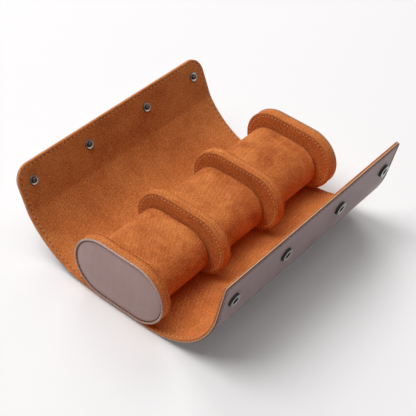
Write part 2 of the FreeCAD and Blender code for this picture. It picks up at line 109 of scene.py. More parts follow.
class Wire:
    """One output of a node. Sums and products of wires and numbers add Math nodes."""

    def __init__(self, paint, socket):
        self.paint = paint
        self.socket = socket

    def math(self, operation, first, second=0.0):
        return self.paint.add("ShaderNodeMath", {"operation": operation}, {0: first, 1: second})

    def __add__(self, other):
        return self.math("ADD", self, other)

    def __sub__(self, other):
        return self.math("SUBTRACT", self, other)

    def __mul__(self, other):
        return self.math("MULTIPLY", self, other)

    def sine(self):
        return self.math("SINE", self)


class Paint:
    """A material, or the world, and the few kinds of node that this scene needs."""

    def __init__(self, name, home=bpy.data.materials):
        self.data = home.new(name)
        self.data.use_nodes = True
        self.tree = self.data.node_tree
        self.tree.nodes.clear()

    def add(self, kind, settings=None, values=None, out=0):
        node = self.tree.nodes.new(kind)
        for key, value in (settings or {}).items():
            if key == "stops":
                for stop, (place, colour) in zip(self.stops(node, len(value)), value):
                    stop.position = place
                    stop.color = (*colour, 1)
            else:
                setattr(node, key, value)
        for key, value in (values or {}).items():
            if isinstance(value, Wire):
                self.tree.links.new(value.socket, node.inputs[key])
            else:
                node.inputs[key].default_value = value
        return Wire(self, node.outputs[out]) if len(node.outputs) else None

    @staticmethod
    def stops(node, count):
        while len(node.color_ramp.elements) < count:
            node.color_ramp.elements.new(1.0)
        return node.color_ramp.elements

    def flat_place(self):
        """Where a point lies on the material before it was sewn, from the mesh's own attribute."""
        return self.add("ShaderNodeAttribute", {"attribute_name": "flat_place"}, out=1)

    def solid_place(self):
        return self.add("ShaderNodeTexCoord", out=3)

    def part_of(self, place, axis):
        return self.add("ShaderNodeSeparateXYZ", values={0: place}, out=axis)

    def stretched(self, place, factors):
        return self.add("ShaderNodeVectorMath", {"operation": "MULTIPLY"}, {0: place, 1: factors})

    def noise(self, place, size, detail=2.0, roughness=0.5, distortion=0.0):
        """Cloudy noise whose patches are about that wide."""
        values = {"Vector": place, "Scale": 1 / size, "Detail": detail}
        values.update({"Roughness": roughness, "Distortion": distortion})
        return self.add("ShaderNodeTexNoise", None, values)

    def pebbles(self, place, size):
        values = {"Vector": place, "Scale": 1 / size, "Smoothness": 0.6}
        return self.add("ShaderNodeTexVoronoi", {"feature": "SMOOTH_F1"}, values)

    def ramp(self, tone, stops):
        return self.add("ShaderNodeValToRGB", {"stops": stops}, {0: tone})

    def bump(self, height, depth, strength=1.0):
        values = {"Height": height, "Distance": depth, "Strength": strength}
        return self.add("ShaderNodeBump", None, values)

    def finish(self, values):
        """Ends the material in a Principled shader with these values."""
        shader = self.add("ShaderNodeBsdfPrincipled", None, values)
        self.add("ShaderNodeOutputMaterial", None, {"Surface": shader})
        print("paint", self.data.name, "has", len(self.tree.nodes), "nodes")
        return self


# %% Colours are written as on the screen
def screen(red, green, blue):
    """A linear colour from the 0 to 255 values that a picture shows."""
    shares = [part / 255 for part in (red, green, blue)]
    return tuple(s / 12.92 if s <= 0.04045 else ((s + 0.055) / 1.055) ** 2.4 for s in shares)


def solid(colour):
    return (*colour, 1)


# %% [markdown]
# ## Suede
#
# Suede is leather with a brushed nap. Up close it is a speckle of short fibres; further away it
# shows cloudy patches where a hand has stroked the nap one way or the other. Both are noise at
# different sizes, added to one tone that a ramp turns into colour, from rust to apricot. A faint
# crossed weave, as of a microsuede cloth, and a little sheen at grazing angles finish it.

# %% Suede paint
NAP_SIZE = 0.95 * MM
FIBRE_SIZE = 0.4 * MM
WEAVE_PITCH = 1.3 * MM
NAP_DEPTH = 0.3 * MM
BRUSH_RATIO = 3.2
RUST = screen(112, 44, 20)
COGNAC = screen(194, 101, 48)
APRICOT = screen(240, 160, 90)


def suede(name, patch, patch_share, brush_share, level):
    """A brushed suede whose cloudy patches are about patch wide. Level is its middle tone."""
    paint = Paint(name)
    place = paint.flat_place()
    cloud = paint.noise(place, patch, detail=3.0, roughness=0.55, distortion=0.5)
    brush = paint.noise(place, patch / BRUSH_RATIO, detail=4.0, roughness=0.6, distortion=1.0)
    nap = paint.noise(place, NAP_SIZE, detail=3.0, roughness=0.75)
    fibre = paint.noise(place, FIBRE_SIZE, detail=2.0, roughness=0.8)
    across, along = paint.part_of(place, 0), paint.part_of(place, 1)
    turns = 2 * math.pi / WEAVE_PITCH
    weave = (across * turns).sine() * (along * turns).sine()
    patches = (cloud - 0.5) * patch_share + (brush - 0.5) * brush_share
    speckle = (nap - 0.5) * 1.3 + (fibre - 0.5) * 0.6 + weave * 0.34
    tone = patches + speckle + level
    colour = paint.ramp(tone, [(0.1, RUST), (0.5, COGNAC), (0.9, APRICOT)])
    height = nap * 0.6 + fibre * 0.3 + weave * 0.22
    values = {"Base Color": colour, "Normal": paint.bump(height, NAP_DEPTH, 0.55)}
    values.update({"Roughness": 0.93, "Specular IOR Level": 0.15})
    values.update({"Sheen Weight": 0.08, "Sheen Roughness": 0.5})
    values.update({"Sheen Tint": solid(screen(255, 190, 130))})
    return paint.finish(values)


lining_suede = suede("lining_suede", 46 * MM, 0.5, 0.3, level=0.59)
disc_suede = suede("disc_suede", 26 * MM, 0.3, 0.25, level=0.6)
cushion_suede = suede("cushion_suede", 26 * MM, 0.72, 0.42, level=0.53)

# %% [markdown]
# ## Smooth leather
#
# The outside is a thin, smooth mauve-grey leather. Its grain is a field of small soft pebbles, far
# too shallow to see as bumps from a step away, but it breaks up the shine. A slow change of tone
# keeps it from looking like paint.

# %% Leather paints
CLOUD_SIZE = 38 * MM
SCUFF_SIZE = 7 * MM
SCUFF_STRETCH = (1, 0.16, 1)
PEBBLE_SIZE = 0.8 * MM
PORE_SIZE = 0.35 * MM


def leather(name, colour, darker, roughness, depth):
    """A smooth leather whose grain is that deep."""
    paint = Paint(name)
    place = paint.flat_place()
    cloud = paint.noise(place, CLOUD_SIZE, detail=3.0)
    scuff = paint.noise(paint.stretched(place, SCUFF_STRETCH), SCUFF_SIZE, detail=4.0, roughness=0.65)
    pebble = paint.pebbles(place, PEBBLE_SIZE)
    pore = paint.noise(place, PORE_SIZE, detail=2.0)
    tone = cloud * 0.7 + scuff * 0.45 + pebble * 0.12 - 0.15
    height = pebble * 0.8 + pore * 0.3
    shine = scuff * 0.16 + pebble * 0.05 + (roughness - 0.1)
    values = {"Base Color": paint.ramp(tone, [(0.15, darker), (0.85, colour)])}
    values.update({"Roughness": shine, "Normal": paint.bump(height, depth, 0.5)})
    values.update({"Specular IOR Level": 0.38})
    return paint.finish(values)


MAUVE = screen(168, 146, 147)
MAUVE_SHADE = screen(144, 121, 122)
outer_leather = leather("outer_leather", MAUVE, MAUVE_SHADE, 0.5, 0.1 * MM)
CAP_MAUVE = screen(184, 154, 149)
CAP_MAUVE_SHADE = screen(160, 128, 123)
cap_leather = leather("cap_leather", CAP_MAUVE, CAP_MAUVE_SHADE, 0.34, 0.06 * MM)

# %% [markdown]
# ## Cut edges, thread, metal and board
#
# A cut edge shows the pale middle of the hide and a line of brown edge paint. The pale colour is
# also a painted highlight where the rounded edge catches the light, and the same brown is painted
# into the leather's stitch groove as painted shade. The thread is pale tan on the discs' suede, a
# duller tan on the lining, brown on the wrap's leather and darkest in the brown channel of the end
# caps. The snaps are plated: gunmetal studs with a brighter ring, and black sockets with a nickel
# face. Board and washers show only if the case is cut open.

# %% The smaller paints


def speckled(name, colour, darker, size, roughness, metallic=0.0, depth=0.05 * MM, solid_mesh=False):
    """A material with specks of that size, in colours from 0 to 255. A solid mesh is a CAD one."""
    paint = Paint(name)
    place = paint.solid_place() if solid_mesh else paint.flat_place()
    speck = paint.noise(place, size, detail=3.0, roughness=0.6)
    shine = speck * 0.2 + (roughness - 0.1)
    values = {"Base Color": paint.ramp(speck, [(0.35, screen(*darker)), (0.65, screen(*colour))])}
    values.update({"Roughness": shine, "Metallic": metallic})
    values.update({"Normal": paint.bump(speck, depth, 0.3)})
    return paint.finish(values)


# Partly the hide's own pale colour, partly a painted highlight on the rounded cut edge.
raw_edge_and_highlight = speckled("raw_edge_and_highlight", (214, 168, 132), (186, 134, 96), 0.7 * MM, 0.7)
# Brown edge paint on the rounded corner, and painted shade in the leather's stitch groove.
edge_paint = speckled("edge_paint", (86, 46, 36), (60, 30, 24), 0.9 * MM, 0.6)
# Painted shade: a darker suede for the sunken stitch channels.
painted_groove_shade = speckled("painted_groove_shade", (112, 52, 26), (84, 38, 20), 0.8 * MM, 0.85)
# Painted shade: the end caps' sunken channel, a darker brown than the leather.
painted_channel_shade = speckled("painted_channel_shade", (164, 114, 96), (138, 92, 76), 0.9 * MM, 0.6)
# The end caps' rim: paler edge paint, partly a painted highlight.
rim_paint_and_highlight = speckled("rim_paint_and_highlight", (190, 162, 150), (168, 140, 130), 1.5 * MM, 0.42)
tan_thread = speckled("tan_thread", (250, 192, 128), (228, 156, 94), 0.5 * MM, 0.75)
wrap_thread = speckled("wrap_thread", (232, 172, 118), (190, 122, 72), 0.5 * MM, 0.75)
dark_thread = speckled("dark_thread", (66, 40, 34), (44, 26, 22), 0.5 * MM, 0.6)
brown_thread = speckled("brown_thread", (112, 54, 32), (72, 34, 24), 0.5 * MM, 0.7)
gunmetal = speckled("gunmetal", (84, 80, 78), (60, 57, 56), 0.6 * MM, 0.24, 1.0, 0.01 * MM)
black_metal = speckled("black_metal", (44, 40, 38), (26, 24, 23), 0.6 * MM, 0.4, 0.8, 0.01 * MM)
nickel = speckled("nickel", (176, 175, 171), (150, 149, 146), 0.6 * MM, 0.32, 1.0, 0.01 * MM)
board = speckled("board", (150, 128, 98), (116, 96, 70), 1.2 * MM, 0.85, solid_mesh=True)
steel = speckled("steel", (150, 150, 152), (128, 128, 130), 0.5 * MM, 0.35, 1.0, solid_mesh=True)

# %% [markdown]
# ## The wrap's line, seen from the end
#
# The wrap is one long sheet, bent only one way. Seen from the end it is a line: flat under the
# discs, then a chain of arcs up each side, a crease near the top of the back flap, and straight
# ends. So one function is enough to bend everything: it takes a place on the flat sheet and a
# height above its outer face, and gives the point in space. The stitches and snaps use it too.

# %% Bending the sheet
WALL = 3.0 * MM
HALF_LENGTH = 101 * MM
CREASE_REACH = 1.7 * MM
CREASE_TURN = 10.0
LAST_ARC = 27.7 * MM
LAST_TURN = 19.5
SNAP_PANEL = 35.1 * MM

last_arc_share = 1 - CREASE_REACH / LAST_ARC
crease_length = 2 * CREASE_REACH + WALL * math.radians(CREASE_TURN)
crease_turn = CREASE_TURN + LAST_TURN * (1 - last_arc_share)
# Each stretch is (its length, how many degrees it turns), from the middle outward.
front_stretches = [
    (25.5 * MM, 0),
    (28.0 * MM, 26.8),
    (28.2 * MM, 29.8),
    (28.2 * MM, 25.3),
    (30.9 * MM, 0),
]
back_stretches = [
    (24.5 * MM, 0),
    (21.2 * MM, 16.3),
    (24.2 * MM, 18.6),
    (LAST_ARC * last_arc_share, LAST_TURN * last_arc_share),
    (crease_length, crease_turn),
    (SNAP_PANEL - CREASE_REACH, 0),
]


def leans_at(stretches, run):
    """How far the sheet leans, in radians, that far along a side's stretches."""
    lengths = np.cumsum([0] + [length for length, turn in stretches])
    leans = np.cumsum([0] + [turn for length, turn in stretches])
    return np.radians(np.interp(run, lengths, leans))


FRONT_END = -sum(length for length, turn in front_stretches)
BACK_END = sum(length for length, turn in back_stretches)
STEP = 0.1 * MM
back_runs = np.append(np.arange(0, BACK_END, STEP), BACK_END)
front_runs = -np.append(np.arange(0, -FRONT_END, STEP), -FRONT_END)
runs = np.concatenate([front_runs[:0:-1], back_runs])
leans = np.where(runs < 0, -leans_at(front_stretches, -runs), leans_at(back_stretches, runs))
middles = (leans[1:] + leans[:-1]) / 2
line_y = np.concatenate([[0], np.cumsum(np.cos(middles) * np.diff(runs))])
line_z = np.concatenate([[0], np.cumsum(np.sin(middles) * np.diff(runs))])
line_y -= np.interp(0, runs, line_y)
line_z -= np.interp(0, runs, line_z)


def on_wrap(x, run, height):
    """The point that far along the wrap from its middle, and that far above its outer face."""
    y, z = np.interp(run, runs, line_y), np.interp(run, runs, line_z)
    lean = np.interp(run, runs, leans)
    return Vector((x, y - height * math.sin(lean), z + height * math.cos(lean)))


def wrap_up(run):
    """The direction away from the outer face."""
    lean = np.interp(run, runs, leans)
    return Vector((0, -math.sin(lean), math.cos(lean)))


print("front edge", [round(c / MM, 2) for c in on_wrap(0, FRONT_END, 0)])
print("back edge", [round(c / MM, 2) for c in on_wrap(0, BACK_END, 0)])

# %% [markdown]
# ## Folds and sections
#
# In the frame the wrap is eight stiff panels on hinges. A real wrap has no hinges, so here each
# layer is cut into seven sections whose ends lie halfway along a panel, with the one hinge in the
# middle of each section.

# %% Where the folds and the cuts are
FOLD_REACH = 9 * MM
CREASE_BEND_REACH = 3 * MM
front_folds = -np.cumsum([length for length, turn in front_stretches[:3]])
back_folds = np.cumsum([length for length, turn in back_stretches[:3]])
front_foot, front_bend, front_tip = front_folds
back_foot, back_bend, back_rise = back_folds
crease_fold = BACK_END - SNAP_PANEL
fold_runs = [front_tip, front_bend, front_foot, back_foot, back_bend, back_rise, crease_fold]
cuts = [FRONT_END] + [(low + high) / 2 for low, high in zip(fold_runs, fold_runs[1:])] + [BACK_END]
MIDDLE_CUT = 3
cuts[MIDDLE_CUT] = 0.0
sections = [
    SimpleNamespace(name="front_tip", bodies=("front_2", "front_3"), nodes=["front_panel_3"]),
    SimpleNamespace(name="front_bend", bodies=("front_1", "front_2"), nodes=["front_panel_2"]),
    SimpleNamespace(name="front_foot", bodies=("base", "front_1"), nodes=["front_panel_1", "base"]),
    SimpleNamespace(name="back_foot", bodies=("base", "back_1"), nodes=["back_panel_1"]),
    SimpleNamespace(name="back_bend", bodies=("back_1", "back_2"), nodes=["back_panel_2"]),
    SimpleNamespace(name="back_rise", bodies=("back_2", "back_3"), nodes=["back_panel_3"]),
    SimpleNamespace(name="snap_panel", bodies=("back_3", "snap_panel"), nodes=["snap_panel"]),
]
for section, fold, low, high in zip(sections, fold_runs, cuts, cuts[1:]):
    section.low, section.high, section.fold = low, high, fold
    outward = 1 if section.fold > 0 else -1
    reach = CREASE_BEND_REACH if section.name == "snap_panel" else FOLD_REACH
    middle = on_wrap(0, section.fold, WALL)
    ahead = on_wrap(0, section.fold + outward * MM, WALL) - on_wrap(0, section.fold - outward * MM, WALL)
    ahead.normalize()
    section.start, section.end = middle - ahead * reach, middle + ahead * reach
print(len(sections), "sections")

# %% [markdown]
# ## From points to a piece
#
# Every piece below is written as points and faces. This helper makes the mesh, welds points that
# fall together, turns all faces outward, and keeps edges sharp only where the surface really
# turns. It also stores each point's place on the flat material, for the paints. Thread, discs,
# cushions and snaps are rings of points, one after another, so joining rings has a helper too.

# %% New piece
WELD = 0.002 * MM
SHARP_DEGREES = 50


def new_piece(name, points, faces, paints, places=None, paint_of_face=None):
    mesh = bpy.data.meshes.new(name)
    mesh.from_pydata([tuple(point) for point in points], [], faces)
    for paint in paints:
        mesh.materials.append(paint.data)
    if paint_of_face:
        mesh.polygons.foreach_set("material_index", paint_of_face)
    layer = mesh.attributes.new("flat_place", "FLOAT_VECTOR", "POINT")
    flat = [tuple(place) for place in (places or points)]
    layer.data.foreach_set("vector", np.array(flat, float).ravel())
    shape = bmesh.new()
    shape.from_mesh(mesh)
    bmesh.ops.remove_doubles(shape, verts=shape.verts, dist=WELD)
    bmesh.ops.recalc_face_normals(shape, faces=shape.faces)
    shape.to_mesh(mesh)
    shape.free()
    mesh.polygons.foreach_set("use_smooth", [True] * len(mesh.polygons))
    mesh.set_sharp_from_angle(angle=math.radians(SHARP_DEGREES))
    piece = bpy.data.objects.new(name, mesh)
    bpy.context.scene.collection.objects.link(piece)
    return piece


def join_rings(rings, around, closed=False, first=0):
    """The faces between each ring of points and the next, and back to the first ring if closed."""
    faces = []
    for ring in range(rings if closed else rings - 1):
        low, high = first + ring * around, first + (ring + 1) % rings * around
        for i in range(around):
            j = (i + 1) % around
            faces.append([low + i, low + j, high + j, high + i])
    return faces


def paint_rings(paint_of_ring, around):
    return [paint for paint in paint_of_ring for i in range(around)]


# %% [markdown]
# ## The two layers of the wrap
#
# Leather and lining are two sheets with the same outline: square at the front edge, well rounded
# at the back. Rows run across the sheet, and near the rounded corners they follow the arc. Round
# the rim the section is drawn as a list of insets and heights. It has a soft edge, a shallow
# channel where the thread pulls the surface down, and on the leather's side a pale cut edge with
# a line of brown paint. The channel is painted darker on both layers as painted shade, and the
# pale of the cut edge is partly a painted highlight.

# %% Rows across the sheet
FRONT_CORNER = 2.5 * MM
BACK_CORNER = 13 * MM
ROW_GAP = 1.6 * MM
FINE_GAP = 0.7 * MM
FINE_REACH = 9 * MM
COLUMNS = np.linspace(-1, 1, 35)


class Row:
    """One line of points across the sheet. Corner rows sit on an arc, others at their run."""

    def __init__(self, run, corner=0.0, angle=0.0, way=1):
        self.run = run
        self.corner = corner
        self.angle = angle
        self.way = way

    def at(self, inset):
        """Half its width and its place along the wrap, that far inside the edge."""
        if not self.corner:
            run = min(max(self.run, FRONT_END + inset), BACK_END - inset)
            return HALF_LENGTH - inset, run
        left = self.corner - inset
        out = (math.cos(self.angle), math.sin(self.angle)) if left > 0 else (1, 1)
        half = HALF_LENGTH - self.corner + left * out[0]
        return half, self.run + self.way * left * out[1]


def corner_rows(end, corner, way):
    """Rows round a pair of corners, from the straight side to the end."""
    count = max(4, round(corner / MM))
    angles = [math.pi / 2 * i / count for i in range(count + 1)]
    return [Row(end - way * corner, corner, angle, way) for angle in angles]


def straight_runs():
    """Runs between the corners, closer together near the crease, with a row at each cut and fold."""
    stops = sorted(cuts[1:-1] + fold_runs)
    low, high = FRONT_END + FRONT_CORNER, BACK_END - BACK_CORNER
    stops = [low] + [stop for stop in stops if low < stop < high] + [high]
    found = []
    for first, last in zip(stops, stops[1:]):
        near_crease = abs((first + last) / 2 - crease_fold) < FINE_REACH
        count = math.ceil((last - first) / (FINE_GAP if near_crease else ROW_GAP))
        found += [first + (last - first) * i / count for i in range(count)]
    return found[1:]


rows = corner_rows(FRONT_END, FRONT_CORNER, -1)[::-1]
rows += [Row(run) for run in straight_runs()]
rows += corner_rows(BACK_END, BACK_CORNER, 1)
print(len(rows), "rows of", len(COLUMNS), "points")

# %% A layer's section
STITCH_INSET = 2.5 * MM
LINING_RIM = [
    (3.8, 3.0), (3.1, 2.96), (2.78, 2.82), (2.5, 2.72), (2.22, 2.82), (1.9, 2.97), (1.45, 3.03),
    (0.9, 3.0), (0.45, 2.88), (0.16, 2.68), (0.02, 2.38), (0.0, 2.0), (0.12, 1.74), (0.4, 1.6),
]
# Painted shade: the lining's sunken stitch channel takes the darker suede.
LINING_RIM_PAINTS = [0, 0, 1, 1] + [0] * 9
LEATHER_RIM = [
    (0.45, 1.6), (0.16, 1.5), (0.03, 1.3), (0.0, 0.95), (0.02, 0.62), (0.1, 0.32), (0.3, 0.08),
    (0.66, 0.0), (1.45, 0.0), (1.95, 0.04), (2.22, 0.18), (2.5, 0.28), (2.78, 0.18), (3.1, 0.04),
    (3.8, 0.0),
]
# Pale cut edge, partly a painted highlight; brown edge paint; brown stitch groove, painted shade.
LEATHER_RIM_PAINTS = [1, 1, 1, 1, 2, 2, 2, 0, 0, 0, 2, 2, 0, 0]


def sheet_section(name, first, last, rim, paints, rim_paints):
    """The part of a layer between two rows, closed all round."""
    points, places, faces, paint_of_face, known = [], [], [], [], {}
    across = len(COLUMNS)
    bottom = len(rim) - 1

    def corner(ring, row, column):
        key = (ring, row, column)
        if key not in known:
            half, run = rows[row].at(rim[ring][0] * MM)
            height = rim[ring][1] * MM
            known[key] = len(points)
            points.append(on_wrap(half * COLUMNS[column], run, height))
            places.append((half * COLUMNS[column], run, height))
        return known[key]

    def face(corners, paint=0):
        faces.append([corner(*key) for key in corners])
        paint_of_face.append(paint)

    for row in range(first, last):
        for column in range(across - 1):
            for ring in (0, bottom):
                square = [(row, column), (row + 1, column), (row + 1, column + 1), (row, column + 1)]
                face([(ring, *key) for key in square])
    left = [(row, 0) for row in range(first, last + 1)]
    right = [(row, across - 1) for row in range(last, first - 1, -1)]
    paths = [left, right]
    if last == len(rows) - 1:
        paths.append([(last, column) for column in range(across)])
    if first == 0:
        paths.append([(0, column) for column in range(across)])
    for path in paths:
        for one, two in zip(path, path[1:]):
            for ring in range(bottom):
                keys = [(ring, *one), (ring, *two), (ring + 1, *two), (ring + 1, *one)]
                face(keys, rim_paints[ring])
    for row in (first, last):
        if 0 < row < len(rows) - 1:
            top = [(0, row, column) for column in range(across)]
            down = [(ring, row, across - 1) for ring in range(1, bottom)]
            back = [(bottom, row, column) for column in reversed(range(across))]
            up = [(ring, row, 0) for ring in range(bottom - 1, 0, -1)]
            face(top + down + back + up)
    return new_piece(name, points, faces, paints, places, paint_of_face)


# %% Build both layers
row_runs = [row.run if not row.corner else (FRONT_END if row.way < 0 else BACK_END) for row in rows]
layers = [
    SimpleNamespace(name="leather", rim=LEATHER_RIM, slot="outer_leather"),
    SimpleNamespace(name="lining", rim=LINING_RIM, slot="suede_lining"),
]
layers[0].paints, layers[0].rim_paints = [outer_leather, raw_edge_and_highlight, edge_paint], LEATHER_RIM_PAINTS
layers[1].paints, layers[1].rim_paints = [lining_suede, painted_groove_shade], LINING_RIM_PAINTS
for section in sections:
    is_first, is_last = section is sections[0], section is sections[-1]
    section.first = 0 if is_first else int(np.argmin(np.abs(np.array(row_runs) - section.low)))
    section.last = len(rows) - 1 if is_last else int(np.argmin(np.abs(np.array(row_runs) - section.high)))
    for layer in layers:
        name = f"wrap_{section.name}_{layer.name}"
        piece = sheet_section(name, section.first, section.last, layer.rim, layer.paints, layer.rim_paints)
        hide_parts(*[f"{node}_{layer.name}" for node in section.nodes])
        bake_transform(piece)
    print(section.name, "rows", section.first, "to", section.last)

# %% [markdown]
# ## Thread
#
# The stitches are real geometry, because a seam drawn only in a material looks printed. A stitch
# is a short bead of thread that dives into the hide at both ends. One list of beads makes a whole
# seam, so a seam is one piece.

# %% Stitch beads
# Each ring of a bead is (share of its length, swell, lift), the last two in half thicknesses.
BEAD_FIRST_HALF = [(0.0, 0.35, -0.75), (0.1, 0.8, -0.15), (0.3, 1.0, 0.2)]
BEAD_RINGS = BEAD_FIRST_HALF + [(1 - share, swell, lift) for share, swell, lift in BEAD_FIRST_HALF[::-1]]
BEAD_SIDES = 6
BEAD_FLATNESS = 0.75
THREAD_HALF = 0.3 * MM


def add_bead(seam, start, end, up, half=THREAD_HALF):
    """Adds one stitch from start to end, lying on the surface that faces up."""
    ahead = end - start
    side = ahead.cross(up).normalized()
    first = len(seam.points)
    for share, swell, lift in BEAD_RINGS:
        middle = start + ahead * share + up * lift * half
        for turn in np.linspace(0, 2 * math.pi, BEAD_SIDES, endpoint=False):
            out = side * math.cos(turn) + up * math.sin(turn) * BEAD_FLATNESS
            seam.points.append(middle + out * half * swell)
    seam.faces += join_rings(len(BEAD_RINGS), BEAD_SIDES, first=first)
    last = first + (len(BEAD_RINGS) - 1) * BEAD_SIDES
    seam.faces.append(list(range(first, first + BEAD_SIDES)))
    seam.faces.append(list(range(last, last + BEAD_SIDES)))


def new_seam():
    return SimpleNamespace(points=[], faces=[])


def walk(line, pitch, share):
    """Start and end of each stitch along a closed line of plane points, evenly pitched."""
    closed = np.array(list(line) + [line[0]], float)
    steps = np.linalg.norm(np.diff(closed, axis=0), axis=1)
    along = np.concatenate([[0], np.cumsum(steps)])
    count = round(along[-1] / pitch)
    gap = along[-1] / count
    stitches = []
    for i in range(count):
        ends = [i * gap, (i + share) * gap]
        stitches.append([[np.interp(end, along, closed[:, axis]) for axis in (0, 1)] for end in ends])
    return stitches


# %% [markdown]
# The wrap is sewn all round, through both layers, so every stitch shows on the suede and again on
# the leather. A stitch is given to the section that it lies in.

# %% Sew the wrap
WRAP_PITCH = 4.0 * MM
STITCH_SHARE = 0.72
SUEDE_SEAT = 2.8 * MM
LEATHER_SEAT = 0.2 * MM
CORNER_POINTS = 14


def rim_line(inset):
    """The wrap's outline, that far inside its edge, as (x, run) points."""
    right = [(HALF_LENGTH - inset, FRONT_END + inset)]
    left_over = BACK_CORNER - inset
    for turn in np.linspace(0, math.pi / 2, CORNER_POINTS):
        x = HALF_LENGTH - BACK_CORNER + left_over * math.cos(turn)
        right.append((x, BACK_END - BACK_CORNER + left_over * math.sin(turn)))
    return right + [(-x, run) for x, run in reversed(right)]


wrap_stitches = walk(rim_line(STITCH_INSET), WRAP_PITCH, STITCH_SHARE)
for section in sections:
    inside, outside = new_seam(), new_seam()
    for (x0, run0), (x1, run1) in wrap_stitches:
        run = (run0 + run1) / 2
        if section.low <= run < section.high:
            up = wrap_up(run)
            add_bead(inside, on_wrap(x0, run0, SUEDE_SEAT), on_wrap(x1, run1, SUEDE_SEAT), up)
            add_bead(outside, on_wrap(x0, run0, LEATHER_SEAT), on_wrap(x1, run1, LEATHER_SEAT), -up)
    for seam, side, thread in ((inside, "inner", wrap_thread), (outside, "outer", brown_thread)):
        piece = new_piece(f"wrap_{section.name}_{side}_stitches", seam.points, seam.faces, [thread])
        "suede_lining" if side == "inner" else "outer_leather"
        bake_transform(piece)
print(len(wrap_stitches), "stitches on each side of the wrap")

# %% [markdown]
# ## The discs
#
# End caps and dividers share one outline, a stadium: two half circles joined by straight sides.
# Whatever is done round it, a rim, a groove, a band, is the same section all the way. So a disc
# is made like a turned part whose lathe follows a stadium: each point of the section, given as an
# inset from the outline and a depth, becomes one ring. The section that runs in to the middle
# closes the face by itself, because there the two straight sides meet. A ring starts at the
# bottom, so that the place where the paint begins and ends stays out of sight.

# %% Stadium rings
DISC_HALF_WIDTH = 40.2 * MM
DISC_HALF_HEIGHT = 25.2 * MM
DISC_HEIGHT = WALL + DISC_HALF_HEIGHT
STRAIGHT = DISC_HALF_WIDTH - DISC_HALF_HEIGHT
RIM_INSET = 1.2


def stadium(straight, steps_straight=12, steps_arc=36):
    """Places on a stadium's middle line and the directions straight out, from the bottom round."""
    middles, outs = [], []
    for way in (1, -1):
        for i in range(steps_straight):
            middles.append((way * straight * (1 - 2 * i / steps_straight), 0))
            outs.append((0, way))
        for i in range(steps_arc):
            turn = math.pi * i / steps_arc
            middles.append((-way * straight, 0))
            outs.append((-way * math.sin(turn), way * math.cos(turn)))
    start = len(middles) // 2 + steps_straight // 2
    return np.roll(np.array(middles, float), -start, axis=0), np.roll(np.array(outs, float), -start, axis=0)


disc_middles, disc_outs = stadium(STRAIGHT)


def ring_at(inset):
    return disc_middles + disc_outs * (DISC_HALF_HEIGHT - inset)


def disc_part(name, x, way, section, paints, paint_of_ring=(), closed=False):
    """A piece with that section round the stadium. Depth grows from x in the direction of way."""
    around = len(disc_middles)
    points, places = [], []
    lengths = np.linalg.norm(np.diff(ring_at(0), axis=0, append=ring_at(0)[:1]), axis=1)
    along = np.concatenate([[0], np.cumsum(lengths)[:-1]])
    for inset, depth in section:
        ring_x = x + way * depth * MM
        for (y, z), run in zip(ring_at(inset * MM), along):
            points.append((ring_x, y, DISC_HEIGHT + z))
            places.append((ring_x, run, inset * MM) if inset < RIM_INSET else (y, z, x + depth * MM))
    faces = join_rings(len(section), around, closed)
    return new_piece(name, points, faces, paints, places, paint_rings(paint_of_ring, around))


def seam_round(name, x, way, kind):
    """Stitches at x round a disc's face, which looks in the direction of way."""
    seam = new_seam()
    up = Vector((way, 0, 0))
    for (y0, z0), (y1, z1) in walk(ring_at(kind.inset * MM), kind.pitch, kind.share):
        add_bead(seam, Vector((x, y0, DISC_HEIGHT + z0)), Vector((x, y1, DISC_HEIGHT + z1)), up, kind.half)
    piece = new_piece(name, seam.points, seam.faces, [kind.thread])
    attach(piece, "base")


# %% [markdown]
# A suede face wraps a little over the disc's edge, and the thread sinks into a shallow channel
# about 3 mm in, which is painted darker as painted shade. The band between the faces is a separate
# strip. Its edges don't quite meet the faces, and beside one of them runs a second, finer line.

# %% Sections of the suede parts
MIDDLE = DISC_HALF_HEIGHT / MM
FACE_SEAM = SimpleNamespace(inset=2.9, pitch=3.0 * MM, share=0.66, half=0.36 * MM, thread=tan_thread)
FACE_SEAT = 0.06 * MM
CHANNEL_HALF = 0.15
BAND_RIM = 0.1
BAND_INSIDE = 1.35
LINE_ROOM = 1.2
# A fine line in the band: (place along the band, inset).
BAND_LINE = [(-0.5, 0.17), (-0.24, 0.3), (0, 0.85), (0.24, 0.3), (0.5, 0.17)]


def face_paints(section):
    """The channel round a face takes a darker suede, as painted shade."""
    insets = [(one[0] + two[0]) / 2 for one, two in zip(section, section[1:])]
    return [1 if abs(inset - FACE_SEAM.inset) < CHANNEL_HALF else 0 for inset in insets]


def face_section(thickness, proud=0.0):
    """From the middle of the face, out over the rim and back along its rear."""
    front = [(MIDDLE, 0.0), (18, 0.0), (11, 0.0), (6, 0.0), (3.7, 0.02), (3.08, 0.14), (2.9, 0.2)]
    front += [(2.72, 0.14), (2.1, 0.02), (1.4, 0.02), (0.8, 0.14), (0.32, 0.42)]
    rim = [(0.06 - proud, 0.8), (-proud, thickness * 0.7), (0.1 - proud, thickness - 0.16)]
    return front + rim + [(0.45, thickness), (6, thickness), (MIDDLE, thickness)]


def band_section(low, high, lines):
    """A closed strip from one depth to another, with fine lines at the given depths."""
    outside = [(0.9, low), (0.42, low + 0.05), (0.22, low + 0.28)]
    for line in lines:
        outside += [(inset, line + along) for along, inset in BAND_LINE]
    middle = (low + high) / 2
    if not any(abs(line - middle) < LINE_ROOM for line in lines):
        outside.append((BAND_RIM, middle))
    outside += [(0.22, high - 0.28), (0.42, high - 0.05), (0.9, high)]
    outside = sorted(outside[:-3], key=lambda place: place[1]) + outside[-3:]
    return outside + [(BAND_INSIDE, high), (BAND_INSIDE, low)]


def suede_face(name, x, way, thickness, proud=0.0):
    section = face_section(thickness, proud)
    return disc_part(name, x, way, section, [disc_suede, painted_groove_shade], face_paints(section))


def sew_face(name, x, way):
    """The seam round a suede face at x, which looks in the direction of way."""
    seam_round(name, x - way * FACE_SEAT, way, FACE_SEAM)
